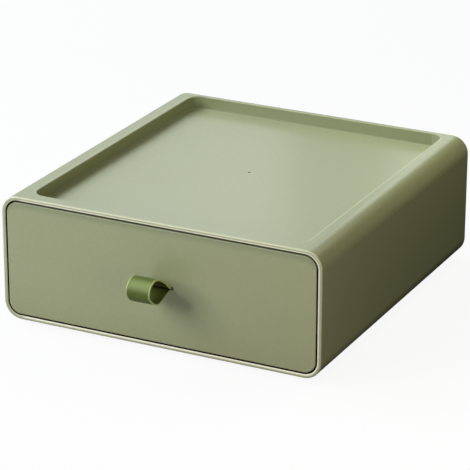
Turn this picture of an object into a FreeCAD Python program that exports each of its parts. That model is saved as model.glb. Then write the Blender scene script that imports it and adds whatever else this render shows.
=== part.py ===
import FreeCAD, Part

# Stackable drawer box with a pull strap, in millimetres.
# X runs to the right, Y to the back and Z up. X and Y are zero at the middle of the case,
# and Z is zero where the foot pads stand.

import math
import os
from FreeCAD import Vector

# Case shell: the sleeve that the drawer runs in
case_width = 200.0
case_depth = 210.0
case_height = 75.0
case_wall = 2.4
case_corner_radius = 10.5
case_front_round = 0.9
case_mouth_round = 0.7
case_back_round = 1.2

# Tray in the top of the case
tray_side_margin = 14.8
tray_front_margin = 8.5
tray_back_margin = 3.2
tray_depth = 7.6
tray_corner_radius = 8.0
tray_wall_lean = 0.5
tray_lip_round = 0.7
tray_floor_round = 0.3
gate_mark_radius = 0.7
gate_mark_depth = 0.25
gate_mark_depth_share = 0.543

# Plinth that stands in the tray of the box below
plinth_height = 2.5
plinth_clearance = 0.8
plinth_edge_round = 0.6

# Foot pads, glued into pockets in the plinth
pad_diameter = 12.0
pad_thickness = 1.8
pad_pocket_depth = 1.0
pad_pocket_clearance = 0.15
pad_edge_round = 0.4
pad_inset = 14.0

# Runners, guides and stops moulded inside the case
runner_width = 4.0
runner_place_share = 0.62
runner_clearance = 0.2
guide_height = 3.0
guide_thickness = 0.5
guide_clearance = 0.3
guide_setback = 12.0
guide_place_share = 0.35
drawer_travel = 155.0
stop_rib_width = 26.0
stop_rib_thickness = 2.0
stop_overlap = 1.5
stop_clearance = 0.3
stop_place_share = 0.58
ceiling_clearance = 0.6

# Drawer front panel
panel_thickness = 2.4
panel_gap = 1.0
panel_edge_round = 0.5
panel_back_round = 0.3

# Posts of the front panel, staked over inside the tub
stake_radius = 2.0
stake_hole_clearance = 0.15
stake_head_radius = 3.2
stake_head_height = 1.2
stake_side_share = 0.82
stake_height_shares = (0.22, 0.80)

# Drawer tub
tub_wall = 2.0
tub_inner_round = 3.0
tub_rim_round = 0.5
tub_back_clearance = 0.3
tongue_width = 18.0
tongue_slot_width = 1.2
tongue_slot_depth = 14.0

# Pull strap: one flat strip, looped in front of the panel
strap_width = 14.6
strap_thickness = 0.9
strap_layer_gap = 0.1
strap_tail_bend = 1.2
strap_tail_length = 9.0
strap_side_clearance = 0.6

# The loop's middle line: shares of its reach out of the front, and of its rise above the slot's
# middle where they are positive or of its drop below it where they are negative
strap_loop_reach = 25.9
strap_loop_rise = 11.3
strap_loop_drop = 3.4
strap_loop_shares = (
    (0.16, 0.27),
    (0.49, 0.84),
    (0.82, 0.98),
    (1.0, 0.50),
    (0.81, -0.33),
    (0.54, -1.0),
    (0.15, -0.23),
)

# Slot for the strap
slot_play = 4.6
slot_height_clearance = 0.25
slot_corner_radius = 0.4

# Retainer plate and its two screws, inside the tub
plate_land = 10.0
plate_thickness = 2.0
plate_height = 26.0
plate_corner_radius = 3.0
plate_edge_round = 0.5
boss_radius = 3.2
boss_clearance = 0.2
boss_relief = 0.1
screw_radius = 1.3
screw_thread_clearance = 0.05
screw_hole_clearance = 0.3
screw_bite = 0.8
screw_tip_clearance = 0.4
screw_head_radius = 2.5
screw_head_height = 1.6
screw_head_round = 0.7
screw_cross_width = 0.6
screw_cross_depth = 0.8
screw_cross_share = 0.56

# How far a cutting body runs past what it cuts, and how close an edge has to lie to be picked
overrun = 5.0
pick_margin = 0.02

# How many spans the sides of the strap's loop are drawn in
strap_loop_steps = 48

# Planes of the case
case_side = case_width / 2
case_front = -case_depth / 2
case_back = case_depth / 2
plinth_face = pad_thickness - pad_pocket_depth
case_bottom = plinth_face + plinth_height
case_top = case_bottom + case_height

# Space inside the case
cavity_side = case_side - case_wall
cavity_bottom = case_bottom + case_wall
cavity_top = case_top - case_wall
cavity_back = case_back - case_wall
cavity_radius = max(case_corner_radius - case_wall, 0)

# Tray
tray_side = case_side - tray_side_margin
tray_front = case_front + tray_front_margin
tray_back = case_back - tray_back_margin
tray_floor = case_top - tray_depth
ceiling = tray_floor - case_wall

# Plinth
plinth_side = tray_side - plinth_clearance
plinth_front = tray_front + plinth_clearance
plinth_back = tray_back - plinth_clearance
plinth_radius = tray_corner_radius - plinth_clearance
pan_floor = plinth_face + case_wall

# Front panel and tub
panel_side = cavity_side - panel_gap
panel_bottom = cavity_bottom + panel_gap
panel_top = cavity_top - panel_gap
panel_radius = max(cavity_radius - panel_gap, 0)
panel_back = case_front + panel_thickness
tub_side = cavity_side - guide_thickness - guide_clearance
tub_bottom = panel_bottom
tub_radius = max(cavity_radius - guide_thickness - guide_clearance, 0)
tub_front = panel_back
tub_back = cavity_back - tub_back_clearance
rib_bottom = ceiling - ceiling_clearance - stop_overlap
tub_top = rib_bottom - ceiling_clearance
tub_height = tub_top - tub_bottom
tongue_top = ceiling - ceiling_clearance
tongue_face = tub_back - tub_wall
stop_place = stop_place_share * tray_side

# Strap, slot, plate and screws
slot_middle = (panel_bottom + panel_top) / 2
slot_width = strap_width + slot_play
slot_height = 2 * strap_thickness + strap_layer_gap + 2 * slot_height_clearance
tub_slot_height = slot_height + 2 * strap_tail_bend
strap_middle = slot_play / 2 - strap_side_clearance
layer_height = (strap_thickness + strap_layer_gap) / 2
wall_inner = panel_thickness + tub_wall
plate_side = slot_width / 2 + plate_land
plate_front = case_front + wall_inner
plate_back = plate_front + strap_thickness + plate_thickness
screw_side = (slot_width + plate_land) / 2
screw_tip = panel_back - screw_bite


def rounded_wire(corners, radii):
    """A closed wire through the corners, each with its own radius. A radius of 0 stays sharp."""
    starts = []
    ends = []
    arcs = []
    for index, corner in enumerate(corners):
        backward = (corners[index - 1] - corner).normalize()
        forward = (corners[(index + 1) % len(corners)] - corner).normalize()
        half = backward.getAngle(forward) / 2
        radius = radii[index]
        start = corner + backward * (radius / math.tan(half))
        end = corner + forward * (radius / math.tan(half))
        starts.append(start)
        ends.append(end)
        if radius > 0:
            inward = (backward + forward).normalize()
            middle = corner + inward * (radius / math.sin(half) - radius)
            arcs.append(Part.Arc(start, middle, end).toShape())
        else:
            arcs.append(None)
    edges = []
    for index, end in enumerate(ends):
        if arcs[index] is not None:
            edges.append(arcs[index])
        edges.append(Part.LineSegment(end, starts[(index + 1) % len(starts)]).toShape())
    return Part.Wire(edges)


def plan_outline(side, front, back, radius, height):
    """A rounded rectangle seen from above, as wide each way as side, at one height."""
    corners = [
        Vector(-side, front, height),
        Vector(side, front, height),
        Vector(side, back, height),
        Vector(-side, back, height),
    ]
    return rounded_wire(corners, [radius] * 4)


def plan_block(side, front, back, radius, bottom, top):
    """A straight block on a rounded rectangle seen from above."""
    outline = plan_outline(side, front, back, radius, bottom)
    return Part.Face(outline).extrude(Vector(0, 0, top - bottom))


def front_block(side, bottom, top, bottom_radius, top_radius, front, back):
    """A straight block on a rounded rectangle seen from the front."""
    corners = [
        Vector(-side, front, bottom),
        Vector(side, front, bottom),
        Vector(side, front, top),
        Vector(-side, front, top),
    ]
    radii = [bottom_radius, bottom_radius, top_radius, top_radius]
    return Part.Face(rounded_wire(corners, radii)).extrude(Vector(0, back - front, 0))


def box_between(low, high):
    """A plain box from its lowest corner to its highest corner."""
    size = high - low
    return Part.makeBox(size.x, size.y, size.z, low)


def rod_along_y(radius, front, back, across, height):
    """A round rod along Y."""
    return Part.makeCylinder(radius, back - front, Vector(across, front, height), Vector(0, 1, 0))


def edges_between(shape, low, high):
    """The edges that lie wholly between two corners, within the pick margin."""
    margin = Vector(pick_margin, pick_margin, pick_margin)
    space = FreeCAD.BoundBox(low - margin, high + margin)
    return [edge for edge in shape.Edges if space.isInside(edge.BoundBox)]


def rounded(shape, radius, low, high):
    """The shape with each edge between two corners rounded."""
    return shape.makeFillet(radius, edges_between(shape, low, high))


def tray_block(grow):
    """The space of the tray, made larger by grow at its floor and at each wall."""
    bottom = tray_floor - grow
    foot = grow - tray_wall_lean
    low_wire = plan_outline(
        tray_side + foot, tray_front - foot, tray_back + foot, tray_corner_radius + foot, bottom
    )
    high_wire = plan_outline(
        tray_side + grow, tray_front - grow, tray_back + grow, tray_corner_radius + grow, case_top
    )
    block = Part.makeLoft([low_wire, high_wire], True, True)
    low = Vector(-tray_side - grow, tray_front - grow, bottom)
    high = Vector(tray_side + grow, tray_back + grow, bottom)
    return rounded(block, tray_floor_round + grow, low, high)


def case_body():
    """The outer skin of the case with its plinth, still solid."""
    body = front_block(
        case_side, case_bottom, case_top, case_corner_radius, case_corner_radius, case_front, case_back
    )
    low = Vector(-case_side, case_front, case_bottom)
    high = Vector(case_side, case_front, case_top)
    body = rounded(body, case_front_round, low, high)
    low = Vector(-case_side, case_back, case_bottom)
    high = Vector(case_side, case_back, case_top)
    body = rounded(body, case_back_round, low, high)
    plinth = plan_block(
        plinth_side, plinth_front, plinth_back, plinth_radius, plinth_face, cavity_bottom
    )
    low = Vector(-plinth_side, plinth_front, plinth_face)
    high = Vector(plinth_side, plinth_back, plinth_face)
    return body.fuse(rounded(plinth, plinth_edge_round, low, high))


def case_cavity():
    """What is empty inside the case: the drawer bay, less the tray above it, and the pan below."""
    bay = front_block(
        cavity_side,
        cavity_bottom,
        cavity_top,
        cavity_radius,
        cavity_radius,
        case_front - overrun,
        cavity_back,
    )
    bay = bay.cut(tray_block(case_wall))
    pan = plan_block(
        plinth_side - case_wall,
        plinth_front + case_wall,
        plinth_back - case_wall,
        max(plinth_radius - case_wall, 0),
        pan_floor,
        cavity_bottom + overrun,
    )
    return bay.fuse(pan)


def case_ribs():
    """The runners under the drawer, the guides beside it and the two stops above it."""
    ribs = []
    runner_place = runner_place_share * plinth_side
    guide_low = tub_bottom + guide_place_share * tub_height
    stop_back = tongue_face - drawer_travel - stop_clearance
    for hand in (-1, 1):
        runner_left = hand * runner_place - runner_width / 2
        runner_low = Vector(runner_left, plinth_front + case_wall / 2, pan_floor - case_wall / 2)
        runner_high = Vector(
            runner_left + runner_width, plinth_back - case_wall / 2, tub_bottom - runner_clearance
        )
        ribs.append(box_between(runner_low, runner_high))
        guide_edges = sorted((hand * (cavity_side - guide_thickness), hand * (cavity_side + case_wall / 2)))
        guide_front = Vector(guide_edges[0], case_front + guide_setback, guide_low)
        guide_back = Vector(guide_edges[1], cavity_back + case_wall / 2, guide_low + guide_height)
        ribs.append(box_between(guide_front, guide_back))
        stop_left = hand * stop_place - stop_rib_width / 2
        stop_low = Vector(stop_left, stop_back - stop_rib_thickness, rib_bottom)
        stop_high = Vector(stop_left + stop_rib_width, stop_back, ceiling + case_wall / 2)
        ribs.append(box_between(stop_low, stop_high))
    return ribs


def pad_places():
    """The name and the middle of each foot pad, seen from above."""
    across = plinth_side - pad_inset
    front = plinth_front + pad_inset
    back = plinth_back - pad_inset
    return [
        ("foot_pad_front_left", -across, front),
        ("foot_pad_front_right", across, front),
        ("foot_pad_back_left", -across, back),
        ("foot_pad_back_right", across, back),
    ]


def gate_mark():
    """The small conical dimple that the moulding gate left in the tray floor."""
    place = Vector(0, case_front + gate_mark_depth_share * case_depth, tray_floor - gate_mark_depth)
    tip_radius = gate_mark_radius / 2
    return Part.makeCone(tip_radius, gate_mark_radius + tip_radius, 2 * gate_mark_depth, place)


def make_case_shell():
    """The case: a sleeve with its back wall, tray, plinth, runners, guides and stops."""
    tray_mouth = plan_block(
        tray_side, tray_front, tray_back, tray_corner_radius, case_top, case_top + overrun
    )
    tray_space = tray_block(0).fuse(tray_mouth)
    shell = case_body().cut([case_cavity(), tray_space, gate_mark()])
    low = Vector(-tray_side, tray_front, case_top)
    high = Vector(tray_side, tray_back, case_top)
    shell = rounded(shell, tray_lip_round, low, high)
    low = Vector(-cavity_side, case_front, cavity_bottom)
    high = Vector(cavity_side, case_front, cavity_top)
    shell = rounded(shell, case_mouth_round, low, high)
    shell = shell.fuse(case_ribs())
    pocket_radius = pad_diameter / 2 + pad_pocket_clearance
    pockets = [
        Part.makeCylinder(
            pocket_radius, pad_pocket_depth + overrun, Vector(across, along, plinth_face - overrun)
        )
        for name, across, along in pad_places()
    ]
    return shell.cut(pockets).removeSplitter()


def make_foot_pad(across, along):
    """One round rubber pad, with its lower edge rounded."""
    radius = pad_diameter / 2
    pad = Part.makeCylinder(radius, pad_thickness, Vector(across, along, 0))
    low = Vector(across - radius, along - radius, 0)
    high = Vector(across + radius, along + radius, 0)
    return rounded(pad, pad_edge_round, low, high)


def slot_cutter(height, front, back):
    """The slot for the strap, cut through a wall with small rounded corners."""
    side = slot_width / 2
    low = slot_middle - height / 2
    high = slot_middle + height / 2
    radius = slot_corner_radius
    return front_block(side, low, high, radius, radius, front - overrun, back + overrun)


def stake_places():
    """Where the posts of the front panel stand, across and up."""
    across = stake_side_share * (tub_side - tub_wall)
    heights = [tub_bottom + share * tub_height for share in stake_height_shares]
    return [(hand * across, height) for hand in (-1, 1) for height in heights]


def rounded_corner_chain(block, radius, end):
    """The block with the sides and bottom of one end rounded. Its top edge stays sharp."""
    low = Vector(-tub_side, end, tub_bottom)
    high = Vector(tub_side, end, case_top + overrun)
    edges = [edge for edge in edges_between(block, low, high) if edge.BoundBox.ZMin < tub_top]
    return block.makeFillet(radius, edges)


def make_drawer_tub():
    """The open tub of the drawer, with its stop tongues and the holes for the front panel."""
    outer_round = tub_inner_round + tub_wall
    outer = front_block(tub_side, tub_bottom, tub_top + overrun, tub_radius, 0, tub_front, tub_back)
    outer = rounded_corner_chain(outer, outer_round, tub_back)
    inner_front = tub_front + tub_wall
    inner = front_block(
        tub_side - tub_wall,
        tub_bottom + tub_wall,
        tub_top + 2 * overrun,
        max(tub_radius - tub_wall, 0),
        0,
        inner_front,
        tongue_face,
    )
    for end in (inner_front, tongue_face):
        inner = rounded_corner_chain(inner, tub_inner_round, end)
    above = box_between(
        Vector(-case_side, case_front, tub_top), Vector(case_side, case_back, case_top + overrun)
    )
    tub = outer.cut([inner, above])
    low = Vector(-tub_side, tub_front + pick_margin * 2, tub_top)
    high = Vector(tub_side, tub_back, tub_top)
    tub = rounded(tub, tub_rim_round, low, high)

    tongues = []
    cutters = []
    for hand in (-1, 1):
        left = hand * stop_place - tongue_width / 2
        right = left + tongue_width
        root = tub_top - tongue_slot_depth
        tongue_low = Vector(left, tongue_face, root)
        tongue_high = Vector(right, tub_back, tongue_top)
        tongues.append(box_between(tongue_low, tongue_high))
        for slot_left in (left - tongue_slot_width, right):
            slot_low = Vector(slot_left, tongue_face - overrun, root)
            slot_high = Vector(slot_left + tongue_slot_width, tub_back + overrun, case_top)
            cutters.append(box_between(slot_low, slot_high))
    cutters.append(slot_cutter(tub_slot_height, tub_front, inner_front))
    for across, height in stake_places():
        hole_radius = stake_radius + stake_hole_clearance
        cutters.append(
            rod_along_y(hole_radius, tub_front - overrun, inner_front + overrun, across, height)
        )
    for hand in (-1, 1):
        hole_radius = boss_radius + boss_clearance
        cutters.append(
            rod_along_y(
                hole_radius, tub_front - overrun, inner_front + overrun, hand * screw_side, slot_middle
            )
        )
    return tub.fuse(tongues).cut(cutters).removeSplitter()


def make_front_panel():
    """The drawer front with its slot, its staked posts and the two bosses for the screws."""
    panel = front_block(
        panel_side, panel_bottom, panel_top, panel_radius, panel_radius, case_front, panel_back
    )
    low = Vector(-panel_side, case_front, panel_bottom)
    high = Vector(panel_side, case_front, panel_top)
    panel = rounded(panel, panel_edge_round, low, high)
    low = Vector(-panel_side, panel_back, panel_bottom)
    high = Vector(panel_side, panel_back, panel_top)
    panel = rounded(panel, panel_back_round, low, high)
    added = []
    for across, height in stake_places():
        added.append(rod_along_y(stake_radius, panel_back, plate_front, across, height))
        head_top = plate_front + stake_head_height
        head = rod_along_y(stake_head_radius, plate_front, head_top, across, height)
        low = Vector(across - stake_head_radius, head_top, height - stake_head_radius)
        high = Vector(across + stake_head_radius, head_top, height + stake_head_radius)
        added.append(rounded(head, stake_head_height * 2 / 3, low, high))
    cutters = [slot_cutter(slot_height, case_front, panel_back)]
    for hand in (-1, 1):
        across = hand * screw_side
        added.append(
            rod_along_y(boss_radius, panel_back, plate_front - boss_relief, across, slot_middle)
        )
        core_radius = screw_radius + screw_thread_clearance
        core_end = screw_tip - screw_tip_clearance
        cutters.append(rod_along_y(core_radius, core_end, plate_front + overrun, across, slot_middle))
    return panel.fuse(added).cut(cutters).removeSplitter()


def turned(heading, angle):
    """A flat direction turned to the left by an angle in degrees."""
    return FreeCAD.Rotation(Vector(0, 0, 1), angle).multVec(heading)


def strip_side(start, heading, legs, offset):
    """The edges along one side of a strip that follows legs of a path.

    A leg is (length, 0) for a straight run, or (radius, angle) for a bend to the left, and to
    the right where the angle is below 0. The side lies to the left of the path by offset.
    """
    edges = []
    place = start + turned(heading, 90) * offset
    for size, angle in legs:
        if angle == 0:
            reached = place + heading * size
            edges.append(Part.LineSegment(place, reached).toShape())
        else:
            hand = math.copysign(1, angle)
            radius = size - hand * offset
            centre = place + turned(heading, 90 * hand) * radius
            middle = centre + turned(place - centre, angle / 2)
            reached = centre + turned(place - centre, angle)
            edges.append(Part.Arc(place, middle, reached).toShape())
            heading = turned(heading, angle)
        place = reached
    return edges, place


def curve_through(points):
    """A smooth curve through the points that starts straight out and ends straight in."""
    curve = Part.BSplineCurve()
    curve.interpolate(
        Points=points, InitialTangent=Vector(1, 0, 0), FinalTangent=Vector(-1, 0, 0), Scale=False
    )
    return curve


def loop_line():
    """The loop's middle line, from the upper layer in the slot to the lower one."""
    points = [Vector(0, layer_height, 0)]
    for out_share, up_share in strap_loop_shares:
        height = strap_loop_rise if up_share > 0 else strap_loop_drop
        points.append(Vector(out_share * strap_loop_reach, up_share * height, 0))
    points.append(Vector(0, -layer_height, 0))
    return curve_through(points)


def loop_side(line, offset):
    """The edge that runs beside the loop's middle line, to the left of it by offset."""
    points = []
    for step in range(strap_loop_steps + 1):
        share = step / strap_loop_steps
        parameter = line.FirstParameter + share * (line.LastParameter - line.FirstParameter)
        heading = line.tangent(parameter)[0]
        points.append(line.value(parameter) + turned(heading, 90) * offset)
    return curve_through(points).toShape()


def make_pull_strap():
    """The strap: a tail behind the wall, out through the slot, round the loop, and back in."""
    tail_line = wall_inner + strap_thickness / 2
    through = tail_line - strap_tail_bend
    legs_out = [(strap_tail_length, 0), (strap_tail_bend, 90), (through, 0)]
    legs_back = [(through, 0), (strap_tail_bend, 90), (strap_tail_length, 0)]
    start = Vector(-tail_line, layer_height + strap_tail_bend + strap_tail_length, 0)
    slot_return = Vector(0, -layer_height, 0)
    line = loop_line()
    edges = []
    tips = []
    for offset in (strap_thickness / 2, -strap_thickness / 2):
        out_edges, reached = strip_side(start, Vector(0, -1, 0), legs_out, offset)
        back_edges, end = strip_side(slot_return, Vector(-1, 0, 0), legs_back, offset)
        edges += out_edges + [loop_side(line, offset)] + back_edges
        tips.append((start + turned(Vector(0, -1, 0), 90) * offset, end))
    for first, second in zip(*tips):
        edges.append(Part.LineSegment(first, second).toShape())
    outline = Part.Wire(Part.__sortEdges__(edges))
    strip = Part.Face(outline).extrude(Vector(0, 0, strap_width))
    # The path was drawn flat: its first axis points out of the front and its second one up.
    placement = FreeCAD.Matrix(
        0, 0, 1, strap_middle - strap_width / 2,
        -1, 0, 0, case_front,
        0, 1, 0, slot_middle,
        0, 0, 0, 1,
    )
    return strip.transformShape(placement, True)


def make_retainer_plate():
    """The plate that clamps the strap's tails, with a channel for them and two screw holes."""
    low = slot_middle - plate_height / 2
    high = slot_middle + plate_height / 2
    plate = front_block(
        plate_side, low, high, plate_corner_radius, plate_corner_radius, plate_front, plate_back
    )
    back_low = Vector(-plate_side, plate_back, low)
    back_high = Vector(plate_side, plate_back, high)
    plate = rounded(plate, plate_edge_round, back_low, back_high)
    channel = box_between(
        Vector(-slot_width / 2, plate_front - overrun, low - overrun),
        Vector(slot_width / 2, plate_front + strap_thickness, high + overrun),
    )
    cutters = [channel]
    for hand in (-1, 1):
        hole_radius = screw_radius + screw_hole_clearance
        cutters.append(
            rod_along_y(
                hole_radius, plate_front - overrun, plate_back + overrun, hand * screw_side, slot_middle
            )
        )
    return plate.cut(cutters)


def make_retainer_screw(across):
    """One pan-head screw with a cross recess, its tip in the panel's boss."""
    head_back = plate_back + screw_head_height
    shank = rod_along_y(screw_radius, screw_tip, plate_back, across, slot_middle)
    head = rod_along_y(screw_head_radius, plate_back, head_back, across, slot_middle)
    low = Vector(across - screw_head_radius, head_back, slot_middle - screw_head_radius)
    high = Vector(across + screw_head_radius, head_back, slot_middle + screw_head_radius)
    head = rounded(head, screw_head_round, low, high)
    arm = screw_cross_share * screw_head_radius
    half = screw_cross_width / 2
    floor = head_back - screw_cross_depth
    end = head_back + overrun
    flat_arm = box_between(
        Vector(across - arm, floor, slot_middle - half), Vector(across + arm, end, slot_middle + half)
    )
    upright_arm = box_between(
        Vector(across - half, floor, slot_middle - arm), Vector(across + half, end, slot_middle + arm)
    )
    return shank.fuse(head).cut([flat_arm, upright_arm]).removeSplitter()


def make_parts():
    """Every node of the box by its name."""
    parts = {
        "case_shell": make_case_shell(),
        "drawer_tub": make_drawer_tub(),
        "drawer_front_panel": make_front_panel(),
        "pull_strap": make_pull_strap(),
        "strap_retainer_plate": make_retainer_plate(),
        "retainer_screws": Part.makeCompound([make_retainer_screw(hand * screw_side) for hand in (-1, 1)]),
    }
    for name, across, along in pad_places():
        parts[name] = make_foot_pad(across, along)
    return parts


os.makedirs("parts", exist_ok=True)
for part_name, part_shape in make_parts().items():
    part_shape.exportStep(f"parts/{part_name}.step")
    print(part_name, "solids", len(part_shape.Solids), "valid", part_shape.isValid(),
          "volume", round(part_shape.Volume), "mm3")
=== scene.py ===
"""Looks of the stackable drawer box: finishes, the looped strap, and a plain pale studio.

Lengths are in metres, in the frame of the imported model: X to the right, Y to the back and Z up,
with zero where the foot pads stand, under the middle of the case.
"""

import logging
import math
from dataclasses import dataclass
from enum import Enum

import bpy
import numpy as np
from mathutils import Matrix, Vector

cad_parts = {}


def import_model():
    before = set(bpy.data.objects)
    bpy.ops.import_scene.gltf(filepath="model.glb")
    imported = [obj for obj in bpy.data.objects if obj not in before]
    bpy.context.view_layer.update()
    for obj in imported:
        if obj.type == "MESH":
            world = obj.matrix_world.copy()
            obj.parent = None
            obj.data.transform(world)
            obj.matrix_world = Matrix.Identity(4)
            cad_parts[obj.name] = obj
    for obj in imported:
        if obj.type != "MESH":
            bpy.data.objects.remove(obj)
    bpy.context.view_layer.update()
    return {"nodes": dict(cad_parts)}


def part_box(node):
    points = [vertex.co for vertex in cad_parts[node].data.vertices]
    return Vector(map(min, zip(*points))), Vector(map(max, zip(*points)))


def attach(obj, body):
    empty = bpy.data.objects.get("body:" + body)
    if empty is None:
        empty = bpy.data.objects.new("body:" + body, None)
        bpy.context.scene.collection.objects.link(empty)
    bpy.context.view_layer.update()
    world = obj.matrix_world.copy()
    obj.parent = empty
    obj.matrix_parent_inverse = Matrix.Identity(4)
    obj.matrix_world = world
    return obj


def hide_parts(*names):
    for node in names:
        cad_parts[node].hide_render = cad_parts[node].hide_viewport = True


LOG = logging.getLogger("drawer_box")
MM = 0.001

# Tones painted on the plastic in places, as linear colours: painted highlights on lips and edges, painted
# shade on the tray's walls, at their foot and in the gaps, and a dark gate mark
# Painted highlight: a paler tone on the tray's lip, the front rim and the panel's edge
EDGE_HIGHLIGHT = (0.640, 0.645, 0.465)
# Painted highlight on the mouth's inner round
MOUTH_HIGHLIGHT = (0.850, 0.850, 0.680)
# Painted shade: the round where the tray's floor meets its walls, and the gaps round the drawer front
CREASE_AND_GAP_SHADE = (0.150, 0.160, 0.090)
# Painted shade deep in the gaps round the drawer front, and the dark spot of the gate mark
GAP_SHADE_AND_GATE_MARK = (0.024, 0.018, 0.005)
# Painted shade on the tray's inner walls
TRAY_WALL_SHADE = (0.245, 0.272, 0.138)
# Painted shade on the tray's back wall, and painted shadow on the panel's top under the rim
BACK_AND_UNDER_RIM_SHADE = (0.250, 0.282, 0.160)


class Axis(Enum):
    """The axes of the frame."""

    X = "X"
    Y = "Y"
    Z = "Z"


class MathStep(Enum):
    """The steps of arithmetic that the materials use."""

    ABSOLUTE = "ABSOLUTE"
    ADD = "ADD"
    MAXIMUM = "MAXIMUM"
    MULTIPLY = "MULTIPLY"
    ROOT = "SQRT"
    SUBTRACT = "SUBTRACT"


class NodeTools:
    """Short calls that add and join the nodes of one material or of the surround."""

    def __init__(self, owner: bpy.types.Material | bpy.types.World) -> None:
        """Starts an empty node tree.

        Args:
            owner: the material or the surround that the nodes belong to.
        """
        owner.use_nodes = True
        self.tree = owner.node_tree
        self.tree.nodes.clear()

    def add(self, kind: str, **values: object) -> bpy.types.Node:
        """Adds a node.

        Args:
            kind: the node's type name.
            values: properties of the node to set.

        Returns:
            The new node.
        """
        node = self.tree.nodes.new(kind)
        for name, value in values.items():
            setattr(node, name, value)
        return node

    def link(self, source: bpy.types.NodeSocket, target: bpy.types.NodeSocket) -> None:
        """Joins an output socket to an input socket."""
        self.tree.links.new(source, target)

    def fill(self, value: object, target: bpy.types.NodeSocket) -> None:
        """Feeds an input socket.

        Args:
            value: an output socket to join to it, or the number or colour to set it to.
            target: the input socket.
        """
        if isinstance(value, bpy.types.NodeSocket):
            self.link(value, target)
        else:
            target.default_value = value

    def math(self, step: MathStep, first: bpy.types.NodeSocket,
             second: object = None) -> bpy.types.NodeSocket:
        """One step of arithmetic on a value that changes over the surface.

        Args:
            step: which step it is.
            first: the first value.
            second: the second value, a number or a socket, where the step takes one.

        Returns:
            The result's socket.
        """
        node = self.add("ShaderNodeMath", operation=step.value)
        self.link(first, node.inputs[0])
        if second is not None:
            self.fill(second, node.inputs[1])
        return node.outputs[0]

    def along(self, vector: bpy.types.NodeSocket, axis: Axis) -> bpy.types.NodeSocket:
        """Takes one number out of a vector.

        Args:
            vector: the vector's socket.
            axis: the axis to read.

        Returns:
            The socket of the vector's share along the axis.
        """
        split = self.add("ShaderNodeSeparateXYZ")
        self.link(vector, split.inputs["Vector"])
        return split.outputs[axis.value]

    def spread(self, value: bpy.types.NodeSocket, low: object, high: object,
               low_in: float = 0.3, high_in: float = 0.7) -> bpy.types.NodeSocket:
        """Stretches a value from one span to another, with its ends held.

        Args:
            value: the socket to read.
            low: the result where the value is low_in or less, a number or a socket.
            high: the result where the value is high_in or more, a number or a socket.
            low_in: the value that gives low. Most of a noise lies above 0.3.
            high_in: the value that gives high. Most of a noise lies below 0.7.

        Returns:
            The result's socket.
        """
        node = self.add("ShaderNodeMapRange")
        node.inputs["From Min"].default_value = low_in
        node.inputs["From Max"].default_value = high_in
        self.fill(low, node.inputs["To Min"])
        self.fill(high, node.inputs["To Max"])
        self.link(value, node.inputs["Value"])
        return node.outputs["Result"]

    def between(self, value: bpy.types.NodeSocket, low: float, high: float,
                fade: float) -> bpy.types.NodeSocket:
        """Marks a span of a value.

        Args:
            value: the socket to read.
            low: where the span starts.
            high: where the span ends.
            fade: how far each end takes to rise from 0 to 1, inside the span.

        Returns:
            The socket that is 1 inside the span and 0 outside it.
        """
        above = self.spread(value, 0.0, 1.0, low, low + fade)
        below = self.spread(value, 1.0, 0.0, high - fade, high)
        return self.math(MathStep.MULTIPLY, above, below)

    def mix(self, share: bpy.types.NodeSocket, first: object, second: object) -> bpy.types.NodeSocket:
        """Mixes two colours.

        Args:
            share: the socket that says how much of the second colour shows.
            first: a colour, or a socket that gives one.
            second: a colour, or a socket that gives one.

        Returns:
            The mixed colour's socket.
        """
        node = self.add("ShaderNodeMix", data_type="RGBA")
        self.link(share, node.inputs["Factor"])
        for name, colour in (("A", first), ("B", second)):
            target = next(s for s in node.inputs if s.name == name and s.type == "RGBA")
            self.fill((*colour, 1.0) if isinstance(colour, tuple) else colour, target)
        return next(s for s in node.outputs if s.type == "RGBA")


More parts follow.
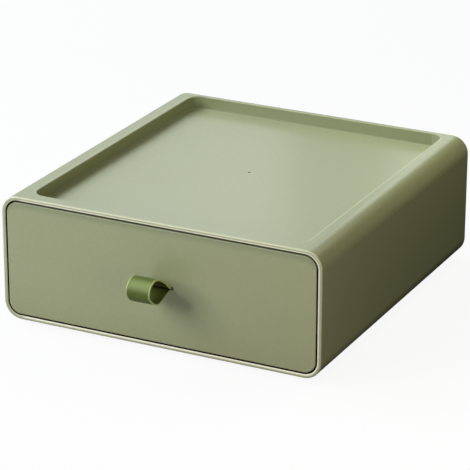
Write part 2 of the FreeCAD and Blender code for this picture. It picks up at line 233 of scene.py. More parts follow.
class FinishTools(NodeTools):
    """The node tools of one finish, with its shader and the places on its surface."""

    flat_above: float = 0.98
    edge_below: float = 0.80

    def __init__(self, name: str) -> None:
        """Starts the finish's material.

        Args:
            name: the material's name.
        """
        self.material = bpy.data.materials.new(name)
        super().__init__(self.material)
        output = self.add("ShaderNodeOutputMaterial")
        self.shader = self.add("ShaderNodeBsdfPrincipled")
        self.link(self.shader.outputs["BSDF"], output.inputs["Surface"])
        coordinates = self.add("ShaderNodeTexCoord")
        self.place = coordinates.outputs["Object"]
        self.normal = coordinates.outputs["Normal"]

    def noise(self, scale: float, detail: float) -> bpy.types.NodeSocket:
        """A noise pattern on Object coordinates.

        Args:
            scale: the pattern's waves per metre.
            detail: how many finer layers it has.

        Returns:
            The noise's value socket, from 0 to 1.
        """
        texture = self.add("ShaderNodeTexNoise")
        texture.inputs["Scale"].default_value = scale
        texture.inputs["Detail"].default_value = detail
        self.link(self.place, texture.inputs["Vector"])
        return texture.outputs["Fac"]

    def vary(self, noise: bpy.types.NodeSocket, middle: float, change: float) -> bpy.types.NodeSocket:
        """A number that a noise moves up and down from its middle, by up to the change."""
        return self.spread(noise, middle - change, middle + change)

    def tilt(self) -> bpy.types.NodeSocket:
        """How far the surface is from square to every axis: 0 on a flat wall, 1 on an edge's round.

        It falls with the largest of the normal's three shares, from 1 at edge_below to 0 at
        flat_above.

        Returns:
            The value's socket.
        """
        shares = [self.math(MathStep.ABSOLUTE, self.along(self.normal, axis)) for axis in Axis]
        largest = self.math(MathStep.MAXIMUM, shares[0], shares[1])
        largest = self.math(MathStep.MAXIMUM, largest, shares[2])
        return self.spread(largest, 1.0, 0.0, self.edge_below, self.flat_above)

    def bump(self, height: bpy.types.NodeSocket, depth: float,
             under: bpy.types.NodeSocket | None = None) -> bpy.types.NodeSocket:
        """A relief on the surface.

        Args:
            height: the socket with the relief's height, from 0 to 1.
            depth: the height of 1, in metres.
            under: the normal of a coarser relief beneath it.

        Returns:
            The normal's socket.
        """
        node = self.add("ShaderNodeBump")
        node.inputs["Strength"].default_value = 1.0
        node.inputs["Distance"].default_value = depth
        self.link(height, node.inputs["Height"])
        if under is not None:
            self.link(under, node.inputs["Normal"])
        return node.outputs["Normal"]

    def finish(self, inputs: dict[str, object]) -> bpy.types.Material:
        """Feeds the shader.

        Args:
            inputs: a socket, a number or a colour for each of the shader's inputs, by its name.

        Returns:
            The finished material.
        """
        for name, value in inputs.items():
            self.fill(value, self.shader.inputs[name])
        return self.material


@dataclass(frozen=True)
class Span:
    """A stretch along one axis, with soft ends."""

    axis: Axis
    low: float
    high: float
    fade: float = 0.1 * MM

    def share(self, tools: FinishTools) -> bpy.types.NodeSocket:
        """The socket that is 1 inside the stretch and 0 outside it."""
        return tools.between(tools.along(tools.place, self.axis), self.low, self.high, self.fade)


@dataclass(frozen=True)
class RoundedEdge:
    """A rounded rectangle that an edge of the box follows, seen along the third axis."""

    axes: tuple[Axis, Axis]
    centre: tuple[float, float]
    half: tuple[float, float]
    radius: float


@dataclass(frozen=True)
class Beside:
    """A band beside a rounded edge, between two distances from it that are counted outwards."""

    edge: RoundedEdge
    low: float
    high: float
    fade: float = 0.2 * MM

    def share(self, tools: FinishTools) -> bpy.types.NodeSocket:
        """The socket that is 1 in the band and 0 beside it.

        The distance from the edge is the length of what each coordinate has beyond the centre
        of the corner's round, less the corner's radius.

        Args:
            tools: the finish's node tools.

        Returns:
            The share's socket.
        """
        edge = self.edge
        squares = []
        for axis, centre, half in zip(edge.axes, edge.centre, edge.half):
            offset = tools.math(MathStep.SUBTRACT, tools.along(tools.place, axis), centre)
            away = tools.math(MathStep.ABSOLUTE, offset)
            beyond = tools.math(MathStep.SUBTRACT, away, half - edge.radius)
            beyond = tools.math(MathStep.MAXIMUM, beyond, 0.0)
            squares.append(tools.math(MathStep.MULTIPLY, beyond, beyond))
        length = tools.math(MathStep.ROOT, tools.math(MathStep.ADD, squares[0], squares[1]))
        distance = tools.math(MathStep.SUBTRACT, length, edge.radius)
        return tools.between(distance, self.low, self.high, self.fade)


@dataclass(frozen=True)
class ToneBand:
    """A part of the surface in which the plastic has another tone, on its flats or its edges.

    Where dull is given, it is the roughness there, and the gloss is weaker as well.
    """

    tone: tuple[float, float, float]
    limits: tuple[Span | Beside, ...]
    on_flats: float = 1.0
    on_edges: float = 1.0
    dull: float | None = None

    def share(self, tools: FinishTools, tilt: bpy.types.NodeSocket) -> bpy.types.NodeSocket:
        """How much of the band's tone shows: the share for flats or edges, inside every limit.

        Args:
            tools: the finish's node tools.
            tilt: the socket that marks rounded edges.

        Returns:
            The share's socket.
        """
        share = tools.spread(tilt, self.on_flats, self.on_edges, 0.0, 1.0)
        for limit in self.limits:
            share = tools.math(MathStep.MULTIPLY, share, limit.share(tools))
        return share


@dataclass(frozen=True)
class MouldedPlastic:
    """Matt moulded plastic: a spark-eroded grain, a slow change of tone, and bands of other tones."""

    name: str
    bands: tuple[ToneBand, ...] = ()
    colour: tuple[float, float, float] = (0.350, 0.380, 0.222)
    shade: tuple[float, float, float] = (0.342, 0.371, 0.216)
    shade_scale: float = 9.0
    roughness: float = 0.30
    roughness_change: float = 0.015
    polish_scale: float = 16.0
    mottle: tuple[float, float, float] = (0.325, 0.353, 0.203)
    mottle_scale: float = 520.0
    mottle_share: float = 0.85
    grain_scale: float = 2600.0
    grain_depth: float = 0.012 * MM
    wave_scale: float = 26.0
    wave_depth: float = 0.03 * MM
    specular: float = 0.5
    specular_change: float = 0.02
    dull_gloss: float = 0.2

    def build(self) -> bpy.types.Material:
        """Makes the material.

        Returns:
            The Blender material.
        """
        tools = FinishTools(self.name)
        slow = tools.noise(self.shade_scale, detail=1.0)
        tone = tools.mix(tools.spread(slow, 0.0, 1.0), self.colour, self.shade)
        fine = tools.spread(tools.noise(self.mottle_scale, detail=3.0), 0.0, self.mottle_share)
        tone = tools.mix(fine, tone, self.mottle)
        polish = tools.noise(self.polish_scale, detail=1.0)
        rough = tools.vary(polish, self.roughness, self.roughness_change)
        gloss = tools.vary(polish, self.specular, self.specular_change)
        if self.bands:
            tilt = tools.tilt()
            for band in self.bands:
                share = band.share(tools, tilt)
                tone = tools.mix(share, tone, band.tone)
                if band.dull is not None:
                    dull = tools.spread(share, 0.0, band.dull, 0.0, 1.0)
                    rough = tools.math(MathStep.MAXIMUM, rough, dull)
                    kept = tools.spread(share, 1.0, self.dull_gloss, 0.0, 1.0)
                    gloss = tools.math(MathStep.MULTIPLY, gloss, kept)
        wave = tools.bump(tools.noise(self.wave_scale, detail=1.0), self.wave_depth)
        grain = tools.bump(tools.noise(self.grain_scale, detail=2.0), self.grain_depth, wave)
        return tools.finish({
            "Base Color": tone,
            "Roughness": rough,
            "Specular IOR Level": gloss,
            "Normal": grain,
        })


@dataclass(frozen=True)
class StrapRubber:
    """Satin rubber-like strip: pale cut edges, painted shade on its inner side, and a painted highlight on
    its bend.

    The mesh marks where they are in point attributes, and also where painted shade darkens
    the crease at the slot.
    """

    name: str = "strap_olive"
    face: tuple[float, float, float] = (0.086, 0.118, 0.016)
    face_change: tuple[float, float, float] = (0.100, 0.136, 0.020)
    # painted highlight on the upper front of the bend
    painted_highlight: tuple[float, float, float] = (0.205, 0.275, 0.075)
    # painted shade on the strap's inner side
    inner_shade: tuple[float, float, float] = (0.058, 0.070, 0.010)
    edge: tuple[float, float, float] = (0.460, 0.530, 0.200)
    # painted shade in the crease at the slot
    crease: tuple[float, float, float] = (0.008, 0.009, 0.003)
    change_scale: float = 160.0
    roughness: float = 0.50
    roughness_change: float = 0.06
    polish_scale: float = 400.0
    specular: float = 0.3
    grain_scale: float = 1500.0
    grain_depth: float = 0.02 * MM

    def build(self) -> bpy.types.Material:
        """Makes the material.

        Returns:
            The Blender material.
        """
        tools = FinishTools(self.name)
        change = tools.spread(tools.noise(self.change_scale, detail=3.0), 0.0, 1.0)
        tone = tools.mix(change, self.face, self.face_change)
        marks = {
            "painted_highlight": self.painted_highlight,
            "inner_shade_side": self.inner_shade,
            "cut_edge": self.edge,
            "crease_shade": self.crease,
        }
        for mark, colour in marks.items():
            place = tools.add("ShaderNodeAttribute", attribute_name=mark)
            tone = tools.mix(place.outputs["Fac"], tone, colour)
        polish = tools.noise(self.polish_scale, detail=3.0)
        return tools.finish({
            "Base Color": tone,
            "Roughness": tools.vary(polish, self.roughness, self.roughness_change),
            "Specular IOR Level": self.specular,
            "Normal": tools.bump(tools.noise(self.grain_scale, detail=3.0), self.grain_depth),
        })


@dataclass(frozen=True)
class ZincPlate:
    """Zinc-plated steel with a fine mottle, rougher where it is duller."""

    name: str = "zinc_plate"
    bright: tuple[float, float, float] = (0.62, 0.62, 0.62)
    dull: tuple[float, float, float] = (0.48, 0.49, 0.50)
    mottle_scale: float = 900.0
    roughness: tuple[float, float] = (0.30, 0.42)
    grain_scale: float = 2500.0
    grain_depth: float = 0.01 * MM

    def build(self) -> bpy.types.Material:
        """Makes the material.

        Returns:
            The Blender material.
        """
        tools = FinishTools(self.name)
        fine = tools.noise(self.mottle_scale, detail=4.0)
        return tools.finish({
            "Base Color": tools.mix(tools.spread(fine, 0.0, 1.0), self.bright, self.dull),
            "Metallic": 1.0,
            "Roughness": tools.spread(fine, *self.roughness),
            "Normal": tools.bump(tools.noise(self.grain_scale, detail=2.0), self.grain_depth),
        })


@dataclass(frozen=True)
class PadRubber:
    """Matt dark rubber with dust on it."""

    name: str = "pad_rubber"
    colour: tuple[float, float, float] = (0.060, 0.060, 0.055)
    dusty: tuple[float, float, float] = (0.110, 0.108, 0.100)
    dust_scale: float = 500.0
    roughness: tuple[float, float] = (0.72, 0.88)
    polish_scale: float = 300.0
    grain_scale: float = 3000.0
    grain_depth: float = 0.02 * MM

    def build(self) -> bpy.types.Material:
        """Makes the material.

        Returns:
            The Blender material.
        """
        tools = FinishTools(self.name)
        dust = tools.spread(tools.noise(self.dust_scale, detail=4.0), 0.0, 1.0)
        polish = tools.noise(self.polish_scale, detail=2.0)
        return tools.finish({
            "Base Color": tools.mix(dust, self.colour, self.dusty),
            "Roughness": tools.spread(polish, *self.roughness),
            "Normal": tools.bump(tools.noise(self.grain_scale, detail=2.0), self.grain_depth),
        })


def mesh_piece(name: str, points: np.ndarray, faces: list[list[int]],
               smooth: bool = True) -> bpy.types.Object:
    """Makes an object at the origin from points and faces.

    Args:
        name: the piece's name.
        points: an array of shape (n, 3), in metres.
        faces: the corner indices of each face.
        smooth: whether the faces are shaded smooth.

    Returns:
        The new object, linked to the scene.
    """
    mesh = bpy.data.meshes.new(name)
    mesh.from_pydata(points.tolist(), [], faces)
    mesh.polygons.foreach_set("use_smooth", np.full(len(faces), smooth))
    mesh.update()
    piece = bpy.data.objects.new(name, mesh)
    bpy.context.scene.collection.objects.link(piece)
    return piece


def paint(piece: bpy.types.Object, material: bpy.types.Material) -> None:
    """Gives a piece its finish, in place of any that it has.

    Args:
        piece: the piece to dress.
        material: its finish.
    """
    piece.data.materials.clear()
    piece.data.materials.append(material)
    LOG.info("painted %s with %s", piece.name, material.name)


def tube_faces(rings: int, around: int) -> list[list[int]]:
    """Quads between rings of points, closed round each ring, with a face over each end.

    Args:
        rings: how many rings there are.
        around: how many points each ring has.

    Returns:
        The faces, as lists of indices into points stored ring by ring.
    """
    ring, step = np.meshgrid(np.arange(rings - 1), np.arange(around), indexing="ij")
    after = (step + 1) % around
    here, there = ring * around, (ring + 1) * around
    quads = np.stack([here + step, here + after, there + after, there + step], axis=-1).reshape(-1, 4)
    first = list(range(around - 1, -1, -1))
    last = list(range((rings - 1) * around, rings * around))
    return quads.tolist() + [first, last]


def clamped_spline(knots: np.ndarray, start: np.ndarray, end: np.ndarray,
                   steps: int) -> tuple[np.ndarray, np.ndarray]:
    """A smooth curve through knots, with its direction given at both ends.

    It is the cubic spline over the chord lengths whose first two derivatives have no jumps: the
    knots' slopes solve one linear system, and each span is then the Hermite cubic of its ends.

    Args:
        knots: an array of shape (n, 2).
        start: the slope at the first knot.
        end: the slope at the last knot.
        steps: how many steps each span is drawn in.

    Returns:
        Points of shape (m, 2) along the curve, and the slope at each of them.
    """
    chord = np.linalg.norm(np.diff(knots, axis=0), axis=1)
    count = len(knots)
    system = np.eye(count)
    right = np.zeros((count, 2))
    right[0], right[-1] = start, end
    before, after = chord[:-1], chord[1:]
    inner = np.arange(1, count - 1)
    system[inner, inner - 1] = after
    system[inner, inner] = 2 * (before + after)
    system[inner, inner + 1] = before
    rise = np.diff(knots, axis=0) / chord[:, None]
    right[1:-1] = 3 * (after[:, None] * rise[:-1] + before[:, None] * rise[1:])
    slopes = np.linalg.solve(system, right)
    share = (np.arange(steps) / steps)[None, :, None]
    size = chord[:, None, None]
    first, second = knots[:-1, None, :], knots[1:, None, :]
    leave, arrive = slopes[:-1, None, :] * size, slopes[1:, None, :] * size
    curve = (
        first * (1 + 2 * share) * (1 - share) ** 2 + leave * share * (1 - share) ** 2
        + second * share ** 2 * (3 - 2 * share) - arrive * share ** 2 * (1 - share)
    )
    slope = (
        (second - first) * 6 * share * (1 - share) + leave * (1 - share) * (1 - 3 * share)
        + arrive * share * (3 * share - 2)
    ) / size
    points = np.concatenate([curve.reshape(-1, 2), knots[-1:]])
    return points, np.concatenate([slope.reshape(-1, 2), slopes[-1:]])


@dataclass
class PullAssembly:
    """The looped strap, the plate that clamps its tails, and the plate's screws."""

    width: float = 14.6 * MM
    thickness: float = 0.9 * MM
    layer_gap: float = 0.1 * MM
    reach: float = 25.9 * MM
    rise: float = 11.3 * MM
    drop: float = 3.4 * MM
    loop_shares: tuple[tuple[float, float], ...] = (
        (0.16, 0.27),
        (0.49, 0.84),
        (0.82, 0.98),
        (1.0, 0.50),
        (0.81, -0.33),
        (0.54, -1.0),
        (0.15, -0.23),
    )
    tail_bend: float = 1.2 * MM
    tail_length: float = 9.0 * MM
    wall: float = 4.4 * MM
    middle: float = 1.7 * MM
    edge_round: float = 0.2 * MM
    corner_steps: int = 4
    outer_margin: float = 0.9 * MM
    inner_margin: float = 0.35 * MM
    # the direction above the horizontal where the painted highlight peaks, in degrees, and how narrow it is
    painted_highlight_tilt: float = 50.0
    painted_highlight_power: float = 14.0
    # how far the crease's painted shade reaches out of the slot, and how it fades
    crease_reach: float = 2.6 * MM
    crease_at_edge: float = 1.2 * MM
    crease_fade: float = 1.2 * MM
    steps: int = 10

    def middle_line(self) -> tuple[np.ndarray, np.ndarray]:
        """The strap's middle line, from its upper tail round the loop to its lower tail.

        The upper half behind the front is a straight tail, a quarter bend and a straight run. The
        lower half is its mirror image, run backwards.

        Returns:
            Points of shape (n, 2), out of the front and up from the slot, and the direction in
            radians at each of them.
        """
        layer = (self.thickness + self.layer_gap) / 2
        tail_line = self.wall + self.thickness / 2
        bend = self.tail_bend
        share = np.linspace(0.0, 1.0, self.steps + 1)
        tail_height = layer + bend + self.tail_length * (1 - share)
        tail = np.stack([np.full_like(share, -tail_line), tail_height], axis=1)
        turn = (share[1:] - 1) * math.pi / 2
        corner_out = bend - tail_line + bend * np.sin(turn)
        corner = np.stack([corner_out, layer + bend - bend * np.cos(turn)], axis=1)
        run_out = (bend - tail_line) * (1 - share[1:-1])
        run = np.stack([run_out, np.full_like(run_out, layer)], axis=1)
        inside = np.concatenate([tail, corner, run])
        inside_slope = np.concatenate([
            np.tile([0.0, -1.0], (len(tail), 1)),
            np.stack([np.cos(turn), np.sin(turn)], axis=1),
            np.tile([1.0, 0.0], (len(run), 1)),
        ])
        shares = np.array(self.loop_shares)
        height = np.where(shares[:, 1] > 0, self.rise, self.drop)
        knots = np.stack([shares[:, 0] * self.reach, shares[:, 1] * height], axis=1)
        knots = np.concatenate([[[0.0, layer]], knots, [[0.0, -layer]]])
        loop, slope = clamped_spline(knots, np.array([1.0, 0.0]), np.array([-1.0, 0.0]), self.steps)
        back = inside[::-1] * [1, -1]
        back_slope = inside_slope[::-1] * [-1, 1]
        line = np.concatenate([inside, loop, back])
        slopes = np.concatenate([inside_slope, slope, back_slope])
        return line, np.arctan2(slopes[:, 1], slopes[:, 0])

    def section(self) -> tuple[np.ndarray, np.ndarray]:
        """The strip's cross-section: a rectangle with rounded corners.

        A corner point is the corner's centre plus the rounding radius in a turning direction. On
        the two faces, a point marks where the paler margin beside each cut edge ends.

        Returns:
            Points of shape (m, 2), across and through the strip, and how much each one belongs
            to a cut edge, from 0 to 1.
        """
        steps = np.linspace(0.0, math.pi / 2, self.corner_steps + 1)
        half = np.array([self.width / 2 - self.edge_round, self.thickness / 2 - self.edge_round])
        signs = np.array([[1, 1], [-1, 1], [-1, -1], [1, -1]])
        angles = np.arange(4)[:, None] * math.pi / 2 + steps[None, :]
        around = np.stack([np.cos(angles), np.sin(angles)], axis=2)
        corners = signs[:, None, :] * half + self.edge_round * around
        outer = np.array([self.width / 2 - self.outer_margin, self.thickness / 2])
        inner = np.array([self.width / 2 - self.inner_margin, self.thickness / 2])
        points = np.concatenate([
            corners[0], [outer, outer * [-1, 1]], corners[1],
            corners[2], [inner * [-1, -1], inner * [1, -1]], corners[3],
        ])
        ones = np.ones(len(steps))
        edge = np.concatenate([ones, [0.0, 0.0], ones, ones, [0.0, 0.0], ones])
        return points, edge

    def build_strap(self, front: float, slot_height: float) -> bpy.types.Object:
        """Makes the strap: its section carried along its middle line.

        A point is the line's point, plus its share through the strip along the line's left
        normal, plus its share across along X. The outer face gets a painted highlight by a power
        of how squarely it faces a direction above the horizontal. The painted shade in the crease
        falls with the distance from the drawer front.

        Args:
            front: the place of the drawer front along Y.
            slot_height: the height of the slot's middle.

        Returns:
            The strap's object.
        """
        line, heading = self.middle_line()
        section, edge = self.section()
        normal = np.stack([-np.sin(heading), np.cos(heading)], axis=1)
        flat = line[:, None, :] + section[None, :, 1:2] * normal[:, None, :]
        across = np.broadcast_to(self.middle + section[None, :, 0], flat.shape[:2])
        points = np.stack([across, front - flat[..., 0], slot_height + flat[..., 1]], axis=-1)
        strap = mesh_piece("strap_loop", points.reshape(-1, 3), tube_faces(len(line), len(section)))
        outer = (section[:, 1] > 0).astype(float)
        # painted highlight on the outer face
        highlight_angle = math.radians(self.painted_highlight_tilt)
        facing = np.clip(normal @ [math.cos(highlight_angle), math.sin(highlight_angle)], 0.0, 1.0) ** self.painted_highlight_power
        # painted shade in the crease at the slot, fading away from the front
        reach = np.where(edge > 0, self.crease_at_edge, self.crease_reach)
        near_slot = np.clip((reach[None, :] - line[:, :1]) / self.crease_fade, 0.0, 1.0)
        marks = {
            "crease_shade": (near_slot * (1 - outer * (1 - edge))).ravel(),
            "cut_edge": np.tile(edge, len(line)),
            # painted shade on the inner side
            "inner_shade_side": np.tile((1 - outer) * (1 - edge), len(line)),
            "painted_highlight": (facing[:, None] * outer[None, :]).ravel(),
        }
        for name, values in marks.items():
            mark = strap.data.attributes.new(name, "FLOAT", "POINT")
            mark.data.foreach_set("value", values.astype(np.float32))
        return strap

    def dress(self, nodes: dict[str, bpy.types.Object]) -> None:
        """Makes the strap and dresses the plate and the screws.

        Args:
            nodes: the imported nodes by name.
        """
        panel_low, panel_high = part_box("drawer_front_panel")
        strap = self.build_strap(panel_low.y, (panel_low.z + panel_high.z) / 2)
        paint(strap, StrapRubber().build())
        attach(strap, "drawer")
        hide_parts("pull_strap")
        paint(nodes["strap_retainer_plate"], MouldedPlastic("sage_plate").build())
        paint(nodes["retainer_screws"], ZincPlate().build())


@dataclass(frozen=True)
class SoftLamp:
    """A round soft lamp that points at the box, and its place round the box.

    Angles are in degrees, lengths in metres and the power in watts.
    """

    name: str
    azimuth: float
    elevation: float
    size: float
    distance: float
    power: float
    colour: tuple[float, float, float]


@dataclass
class Studio:
    """The camera, the lamps, the pale floor and surround, and two cards that shape the gloss."""

    azimuth: float = 26.6
    elevation: float = 21.49
    roll: float = 0.09
    distance: float = 1486.6 * MM
    target: tuple[float, float, float] = (-2.156 * MM, -5.0 * MM, 35.7 * MM)
    focal_pixels: float = 2528.8
    picture_pixels: float = 470.0
    sensor: float = 36.0
    farthest: float = 20.0
    lamp_target: tuple[float, float, float] = (0.0, 0.0, 40.0 * MM)
    lamps: tuple[SoftLamp, ...] = (
        SoftLamp("key_front", -38.0, 28.0, 1.25, 2.0, 30.2, (1.0, 0.99, 0.98)),
        SoftLamp("key_left", -92.0, 40.0, 1.2, 2.0, 26.5, (0.79, 0.89, 1.0)),
        SoftLamp("window_back", -158.0, 36.0, 1.2, 2.0, 4.6, (0.89, 0.955, 1.0)),
        SoftLamp("card_front", 45.0, 8.0, 0.2, 0.42, 0.29, (1.0, 0.92, 0.80)),
        SoftLamp("card_right", 118.0, 52.0, 0.2, 0.34, 0.36, (1.0, 0.96, 0.68)),
    )
    surround_light: float = 0.02
    floor_half: float = 6.0
    floor_glow: tuple[float, float, float, float] = (0.91, 0.91, 0.91, 1.0)
    floor_seen: float = 0.08
    bounce_before: float = 0.68
    bounce_beside: float = 0.25
    bounce_step: tuple[float, float] = (-0.15, -0.10)
    bounce_end: tuple[float, float] = (-0.05, 0.13)
    flag_tone: tuple[float, float, float, float] = (0.01, 0.01, 0.01, 1.0)
    flag_roughness: float = 0.9
    flag_left: float = -0.1
    flag_right: float = 0.7
    flag_front: float = -0.6
    flag_back: float = 1.6
    flag_top: float = 1.3
    card_tone: tuple[float, float, float, float] = (0.75, 0.79, 0.82, 1.0)
    card_left: float = -0.088
    card_right: float = -0.008
    card_back: float = 0.25
    card_top: float = 0.34

    @staticmethod
    def direction(azimuth: float, elevation: float) -> np.ndarray:
        """The unit vector towards a place round the box.

        Args:
            azimuth: degrees round from the front, 90 at the right.
            elevation: degrees above the floor.

        Returns:
            The vector.
        """
        around = math.radians(azimuth)
        above = math.radians(elevation)
        flat = math.cos(above)
        return np.array([math.sin(around) * flat, -math.cos(around) * flat, math.sin(above)])

    @staticmethod
    def facing(target: tuple[float, float, float], back: np.ndarray, distance: float,
               roll: float = 0.0) -> Matrix:
        """The place of a camera or a lamp that points at a target.

        Args:
            target: the point that it points at.
            back: the unit vector from the target towards it.
            distance: how far from the target it is.
            roll: how many degrees it is turned about its own line.

        Returns:
            The object's matrix.
        """
        right = np.cross([0.0, 0.0, 1.0], back)
        right /= np.linalg.norm(right)
        up = np.cross(back, right)
        turn = math.radians(roll)
        matrix = np.eye(4)
        matrix[:3, 0] = math.cos(turn) * right + math.sin(turn) * up
        matrix[:3, 1] = math.cos(turn) * up - math.sin(turn) * right
        matrix[:3, 2] = back
        matrix[:3, 3] = np.array(target) + distance * back
        return Matrix(matrix.tolist())

    def place_camera(self) -> None:
        """Puts the camera where the photograph was taken from."""
        data = bpy.data.cameras.new("camera")
        data.sensor_width = self.sensor
        data.lens = self.sensor * self.focal_pixels / self.picture_pixels
        data.clip_end = self.farthest
        camera = bpy.data.objects.new("camera", data)
        bpy.context.scene.collection.objects.link(camera)
        back = self.direction(self.azimuth, self.elevation)
        camera.matrix_world = self.facing(self.target, back, self.distance, self.roll)
        bpy.context.scene.camera = camera

    def add_lamp(self, lamp: SoftLamp) -> None:
        """Puts one lamp in its place, facing the box.

        Args:
            lamp: the lamp and its place.
        """
        data = bpy.data.lights.new(lamp.name, "AREA")
        data.shape = "DISK"
        data.size = lamp.size
        data.energy = lamp.power
        data.color = lamp.colour
        piece = bpy.data.objects.new(lamp.name, data)
        piece.visible_camera = False
        bpy.context.scene.collection.objects.link(piece)
        back = self.direction(lamp.azimuth, lamp.elevation)
        piece.matrix_world = self.facing(self.lamp_target, back, lamp.distance)

    def build_world(self) -> None:
        """A pale surround for the camera and for gloss, and a much dimmer one as a light."""
        world = bpy.data.worlds.new("surround")
        bpy.context.scene.world = world
        tools = NodeTools(world)
        output = tools.add("ShaderNodeOutputWorld")
        background = tools.add("ShaderNodeBackground")
        rays = tools.add("ShaderNodeLightPath").outputs
        shown = tools.math(MathStep.MAXIMUM, rays["Is Camera Ray"], rays["Is Glossy Ray"])
        shown = tools.math(MathStep.MAXIMUM, shown, rays["Is Transmission Ray"])
        strength = tools.spread(shown, self.surround_light, 1.0, 0.0, 1.0)
        tools.link(strength, background.inputs["Strength"])
        tools.link(background.outputs["Background"], output.inputs["Surface"])

    def build_floor(self) -> None:
        """A pale floor that the camera sees as nearly white, and that keeps the box's shadow.

        It bounces most light up before the box's front, less beside and behind the box, and
        ever less towards the right.
        """
        half = self.floor_half
        corners = np.array([[-half, -half, 0.0], [half, -half, 0.0], [half, half, 0.0], [-half, half, 0.0]])
        floor = mesh_piece("floor", corners, [[0, 1, 2, 3]], smooth=False)
        material = bpy.data.materials.new("pale_floor")
        tools = NodeTools(material)
        output = tools.add("ShaderNodeOutputMaterial")
        place = tools.add("ShaderNodeNewGeometry").outputs["Position"]
        seen = tools.add("ShaderNodeLightPath").outputs["Is Camera Ray"]
        along_y = tools.along(place, Axis.Y)
        bounce = tools.spread(along_y, self.bounce_before, self.bounce_beside, *self.bounce_step)
        bounce = tools.spread(tools.along(place, Axis.X), bounce, 0.0, *self.bounce_end)
        diffuse = tools.add("ShaderNodeBsdfDiffuse")
        tools.link(tools.spread(seen, bounce, self.floor_seen, 0.0, 1.0), diffuse.inputs["Color"])
        glow = tools.add("ShaderNodeEmission")
        glow.inputs["Color"].default_value = self.floor_glow
        tools.link(seen, glow.inputs["Strength"])
        both = tools.add("ShaderNodeAddShader")
        tools.link(diffuse.outputs[0], both.inputs[0])
        tools.link(glow.outputs[0], both.inputs[1])
        tools.link(both.outputs[0], output.inputs["Surface"])
        paint(floor, material)

    def build_flag(self) -> None:
        """A folded black card out of the picture, which shades the right side and the back."""
        left, right, front, back = self.flag_left, self.flag_right, self.flag_front, self.flag_back
        corners = np.array([
            [right, front, 0.0], [right, back, 0.0], [right, back, self.flag_top],
            [right, front, self.flag_top], [left, back, 0.0], [left, back, self.flag_top],
        ])
        flag = mesh_piece("flag", corners, [[0, 1, 2, 3], [1, 4, 5, 2]], smooth=False)
        tools = FinishTools("black_card")
        paint(flag, tools.finish({"Base Color": self.flag_tone, "Roughness": self.flag_roughness}))
        flag.visible_camera = False

    def build_grey_card(self) -> None:
        """A pale grey card close behind, which only the right part of the tray mirrors."""
        left, right, back, top = self.card_left, self.card_right, self.card_back, self.card_top
        corners = np.array([[left, back, 0.0], [right, back, 0.0], [right, back, top], [left, back, top]])
        card = mesh_piece("grey_card", corners, [[0, 1, 2, 3]], smooth=False)
        material = bpy.data.materials.new("grey_card")
        tools = NodeTools(material)
        output = tools.add("ShaderNodeOutputMaterial")
        glow = tools.add("ShaderNodeEmission")
        glow.inputs["Color"].default_value = self.card_tone
        tools.link(glow.outputs[0], output.inputs["Surface"])
        paint(card, material)
        card.visible_camera = False
        card.visible_diffuse = False
        card.visible_shadow = False

    def build(self) -> None:
        """Builds the whole studio."""
        self.place_camera()
        for lamp in self.lamps:
            self.add_lamp(lamp)
        self.build_world()
        self.build_floor()
        self.build_flag()
        self.build_grey_card()
        bpy.context.scene.view_settings.view_transform = "Standard"


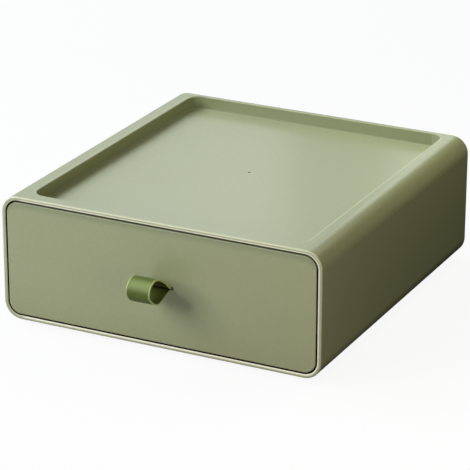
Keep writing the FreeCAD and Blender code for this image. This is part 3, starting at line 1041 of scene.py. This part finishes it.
@dataclass
class CaseAssembly:
    """The case shell: its sage plastic, with painted highlights at the mouth, the rim and the tray's lip,
    painted shade on the tray's walls, at their foot and in the gap, and a dark gate mark.

    Each pair of distances is counted outwards from the edge that its name begins with.
    """

    mouth: RoundedEdge = RoundedEdge(
        (Axis.X, Axis.Z), (0.0, 40.8 * MM), (97.6 * MM, 35.1 * MM), 8.1 * MM,
    )
    mouth_lip: tuple[float, float] = (-0.3 * MM, 1.1 * MM)
    mouth_inside: tuple[float, float] = (-1.5 * MM, 0.3 * MM)
    rim: Span = Span(Axis.Y, -106.0 * MM, -104.0 * MM)
    # where the mouth's painted highlight goes: all round but the left side, which lies in shade
    rim_lit: Span = Span(Axis.X, -90.0 * MM, 110.0 * MM, 4.0 * MM)
    gap: Span = Span(Axis.Y, -104.6 * MM, -98.0 * MM, 0.2 * MM)
    gap_below_top: Span = Span(Axis.Z, 0.0, 74.8 * MM, 1.0 * MM)
    tray: RoundedEdge = RoundedEdge(
        (Axis.X, Axis.Y), (0.0, 2.65 * MM), (85.2 * MM, 99.15 * MM), 8.0 * MM,
    )
    tray_lip: tuple[float, float] = (-0.6 * MM, 1.1 * MM)
    tray_inside: tuple[float, float] = (-1.6 * MM, 0.3 * MM)
    lip_height: Span = Span(Axis.Z, 77.5 * MM, 79.3 * MM)
    lip_length: Span = Span(Axis.Y, -95.8 * MM, 98.0 * MM, 2.0 * MM)
    wall_height: Span = Span(Axis.Z, 70.8 * MM, 78.1 * MM, 0.5 * MM)
    wall_foot: Span = Span(Axis.Z, 70.4 * MM, 71.1 * MM)
    back_wall: Span = Span(Axis.Y, 93.0 * MM, 103.0 * MM, 3.0 * MM)
    mark: RoundedEdge = RoundedEdge(
        (Axis.X, Axis.Y), (0.0, 9.03 * MM), (0.9 * MM, 0.9 * MM), 0.9 * MM,
    )
    mark_inside: tuple[float, float] = (-1.0 * MM, 0.1 * MM)
    mark_height: Span = Span(Axis.Z, 70.2 * MM, 70.9 * MM)

    def bands(self) -> tuple[ToneBand, ...]:
        """The parts of the shell that have another tone, the gate's mark in the tray among them.

        Returns:
            The bands, in the order in which they are laid over each other.
        """
        walls = (Beside(self.tray, *self.tray_inside), self.wall_height)
        foot = (Beside(self.tray, *self.tray_inside), self.wall_foot)
        mark = (Beside(self.mark, *self.mark_inside), self.mark_height)
        lip = (Beside(self.tray, *self.tray_lip), self.lip_height, self.lip_length)
        mouth = (Beside(self.mouth, *self.mouth_lip), self.rim, self.rim_lit)
        gap = (Beside(self.mouth, *self.mouth_inside), self.gap)
        return (
            # painted shade on the tray's inner walls
            ToneBand(TRAY_WALL_SHADE, walls),
            # painted shade on the tray's back wall
            ToneBand(BACK_AND_UNDER_RIM_SHADE, (*walls, self.back_wall)),
            # painted shade on the round where the tray's floor meets its walls
            ToneBand(CREASE_AND_GAP_SHADE, foot, on_flats=0.0, on_edges=0.8),
            # a dark, dull spot at the gate mark in the tray's floor
            ToneBand(GAP_SHADE_AND_GATE_MARK, mark, on_flats=0.85, on_edges=0.85, dull=0.9),
            # painted highlight on the tray's lip
            ToneBand(EDGE_HIGHLIGHT, lip, on_flats=0.5, on_edges=0.95),
            # painted highlight on the front rim
            ToneBand(EDGE_HIGHLIGHT, (self.rim,), on_flats=0.3),
            # painted highlight on the mouth's inner round, on its lit sides
            ToneBand(MOUTH_HIGHLIGHT, mouth, on_flats=0.85),
            # painted shade in the gap inside the mouth
            ToneBand(CREASE_AND_GAP_SHADE, gap, on_flats=0.6, on_edges=0.6, dull=0.95),
            # darker painted shade deeper in the gap, below the top
            ToneBand(GAP_SHADE_AND_GATE_MARK, (*gap, self.gap_below_top), dull=0.95),
        )

    def dress(self, nodes: dict[str, bpy.types.Object]) -> None:
        """Dresses the case shell.

        Args:
            nodes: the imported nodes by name.
        """
        paint(nodes["case_shell"], MouldedPlastic("sage_shell", self.bands()).build())


@dataclass
class FootPads:
    """The four rubber pads under the case."""

    prefix: str = "foot_pad"

    def dress(self, nodes: dict[str, bpy.types.Object]) -> None:
        """Dresses the pads.

        Args:
            nodes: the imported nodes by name.
        """
        rubber = PadRubber().build()
        for name, piece in nodes.items():
            if name.startswith(self.prefix):
                paint(piece, rubber)


@dataclass
class DrawerAssembly:
    """The drawer: its front panel, with a painted highlight on its edge and painted shade in the gap and
    under the top rim, and its tub.

    Each pair of distances is counted outwards from the panel's edge, and its third number says
    how far its ends take to fade.
    """

    edge: RoundedEdge = RoundedEdge(
        (Axis.X, Axis.Z), (0.0, 40.8 * MM), (96.6 * MM, 34.1 * MM), 7.1 * MM,
    )
    at_edge: tuple[float, float, float] = (-0.3 * MM, 1.0 * MM, 0.2 * MM)
    near_edge: tuple[float, float, float] = (-4.6 * MM, 6.0 * MM, 4.4 * MM)
    face: Span = Span(Axis.Y, -106.0 * MM, -104.4 * MM)
    side: Span = Span(Axis.Y, -104.4 * MM, -102.4 * MM)
    upper: Span = Span(Axis.Z, 66.0 * MM, 90.0 * MM, 6.0 * MM)
    lower: Span = Span(Axis.Z, 0.0, 71.0 * MM, 3.0 * MM)

    def bands(self) -> tuple[ToneBand, ...]:
        """The parts of the front panel that have another tone.

        Returns:
            The bands, in the order in which they are laid over each other.
        """
        gap = (Beside(self.edge, *self.at_edge), self.side)
        return (
            # painted shadow on the panel's top, under the case's rim
            ToneBand(BACK_AND_UNDER_RIM_SHADE, (Beside(self.edge, *self.near_edge), self.upper)),
            # painted highlight on the panel's rounded front edge, except along its top
            ToneBand(EDGE_HIGHLIGHT, (self.face, self.lower), on_flats=0.0, on_edges=0.5),
            # painted shade on the panel's sides in the gap
            ToneBand(CREASE_AND_GAP_SHADE, gap, on_flats=0.6, on_edges=0.6, dull=0.95),
            # darker painted shade on the panel's sides in the gap, below the top
            ToneBand(GAP_SHADE_AND_GATE_MARK, (*gap, self.lower), dull=0.95),
        )

    def dress(self, nodes: dict[str, bpy.types.Object]) -> None:
        """Dresses the front panel and the tub.

        Args:
            nodes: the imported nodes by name.
        """
        paint(nodes["drawer_front_panel"], MouldedPlastic("sage_front", self.bands()).build())
        paint(nodes["drawer_tub"], MouldedPlastic("sage_tub").build())


def main() -> None:
    """Loads the frame, dresses the box and builds the studio."""
    logging.basicConfig(level=logging.INFO, format="%(name)s: %(message)s")
    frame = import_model()
    nodes = frame["nodes"]
    CaseAssembly().dress(nodes)
    FootPads().dress(nodes)
    DrawerAssembly().dress(nodes)
    PullAssembly().dress(nodes)
    Studio().build()


if __name__ == "__main__":
    main()
